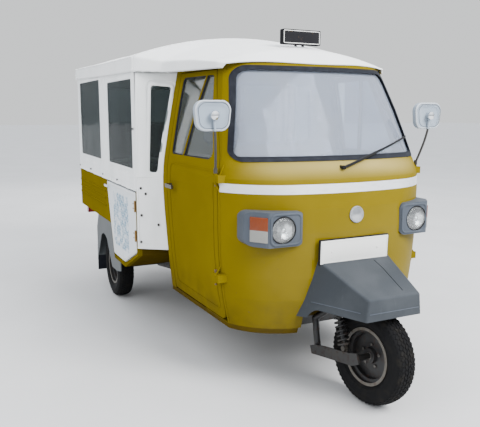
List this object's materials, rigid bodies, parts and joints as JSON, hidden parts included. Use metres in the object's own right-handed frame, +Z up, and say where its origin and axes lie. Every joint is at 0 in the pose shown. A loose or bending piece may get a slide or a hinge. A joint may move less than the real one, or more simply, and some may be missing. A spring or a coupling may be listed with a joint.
{
  "type": "auto rickshaw",
  "caption": "Passenger auto rickshaw with an enclosed cab over one steered front wheel, a canvas-topped passenger bed with a side door and tailgate, and rear wheels on trailing arms.",
  "frame": {"origin": "on the ground under the middle of the vehicle's overall box", "axes": "+Y towards the tail, along the length; +X towards the vehicle's left; +Z up"},
  "size_m": [1.5, 3.2488, 1.795],
  "materials": {
    "body_paint": "gloss",
    "frame_paint": "satin",
    "bare_steel": "worn",
    "tyre": "matt",
    "rim_paint": "satin",
    "window_glass": "clear",
    "seal_rubber": "matt",
    "board_white": "gloss",
    "hinge_brass": "worn",
    "cast_engine": "rough",
    "canvas": "matt coated cloth",
    "clear_sheet": "clear flexible sheet",
    "grey_plastic": "matt",
    "lens_amber": "moulded lens",
    "chrome": "bright",
    "dark_plastic": "matt",
    "mirror_glass": "polished",
    "seat_cover": "grained",
    "lens_red": "moulded lens",
    "mirror_shell": "gloss"
  },
  "bodies": {
    "chassis": {"bed_floor": "body_paint", "bed_side_left": "body_paint", "bed_side_right": "body_paint", "cab_floor": "body_paint", "cab_nose": "body_paint", "cab_rear_glass": "window_glass", "cab_rear_wall": "body_paint", "cab_roof": "body_paint", "cab_upper_frame": "body_paint", "canopy_curtains": "canvas", "canopy_frame": "frame_paint", "canopy_roof": "canvas", "canopy_windows": "clear_sheet", "chassis_frame": "frame_paint", "dashboard": "dark_plastic", "drive_shafts": "bare_steel", "engine": "cast_engine", "exhaust": "bare_steel", "front_mudguard": "grey_plastic", "headlamp_housings": "grey_plastic", "headlamps": "window_glass", "indicators": "lens_amber", "mirror_glasses": "mirror_glass", "mirrors": "mirror_shell", "mudflaps": "seal_rubber", "rear_fenders": "grey_plastic", "rear_suspension": "frame_paint", "roof_sign": "frame_paint", "seat_bases": "body_paint", "seats": "seat_cover", "side_door_hinges": "hinge_brass", "steering_head": "frame_paint", "tail_lamps": "lens_red", "wheel_well": "body_paint", "windscreen": "window_glass", "windscreen_seal": "seal_rubber", "wiper": "dark_plastic"},
    "steering": {"front_fork": "frame_paint", "steering_column": "frame_paint", "handlebar": "frame_paint", "front_link": "bare_steel", "front_damper": "bare_steel"},
    "front_wheel": {"front_tyre": "tyre", "front_rim": "rim_paint"},
    "rear_wheel_left": {"rear_left_tyre": "tyre", "rear_left_rim": "rim_paint"},
    "rear_wheel_right": {"rear_right_tyre": "tyre", "rear_right_rim": "rim_paint"},
    "cab_door_left": {"cab_door_left": "body_paint", "cab_door_left_glass": "window_glass", "door_handle_left": "chrome"},
    "cab_door_right": {"cab_door_right": "body_paint", "cab_door_right_glass": "window_glass", "door_handle_right": "chrome"},
    "side_door": {"side_door": "board_white"},
    "tailgate": {"tailgate": "body_paint"}
  },
  "joints": [
    {"name": "steer", "type": "hinge", "parent": "chassis", "child": "steering", "pos_m": [0, -1.33, 0.228], "axis": [0, 0.3746, 0.9272], "range_deg": [-47.5, 32.5]},
    {"name": "front_wheel_spin", "type": "hinge", "parent": "steering", "child": "front_wheel", "pos_m": [0.00666, -1.3846, 0.22784], "axis": [0.9914, 0.121, -0.0489], "continuous": true},
    {"name": "rear_wheel_left_spin", "type": "hinge", "parent": "chassis", "child": "rear_wheel_left", "pos_m": [0.636, 0.785, 0.228], "axis": [1, 0, 0], "continuous": true},
    {"name": "rear_wheel_right_spin", "type": "hinge", "parent": "chassis", "child": "rear_wheel_right", "pos_m": [-0.636, 0.785, 0.228], "axis": [1, 0, 0], "continuous": true},
    {"name": "cab_door_left_hinge", "type": "hinge", "parent": "chassis", "child": "cab_door_left", "pos_m": [0.601, -0.948, 0.8], "axis": [0, 0, -1], "range_deg": [0, 70]},
    {"name": "cab_door_right_hinge", "type": "hinge", "parent": "chassis", "child": "cab_door_right", "pos_m": [-0.601, -0.948, 0.8], "axis": [0, 0, 1], "range_deg": [0, 70]},
    {"name": "side_door_hinge", "type": "hinge", "parent": "chassis", "child": "side_door", "pos_m": [-0.742, -0.054, 0.7], "axis": [0, 0, 1], "range_deg": [0, 95]},
    {"name": "tailgate_hinge", "type": "hinge", "parent": "chassis", "child": "tailgate", "pos_m": [0, 1.618, 0.58], "axis": [-1, 0, 0], "range_deg": [0, 90]}
  ]
}
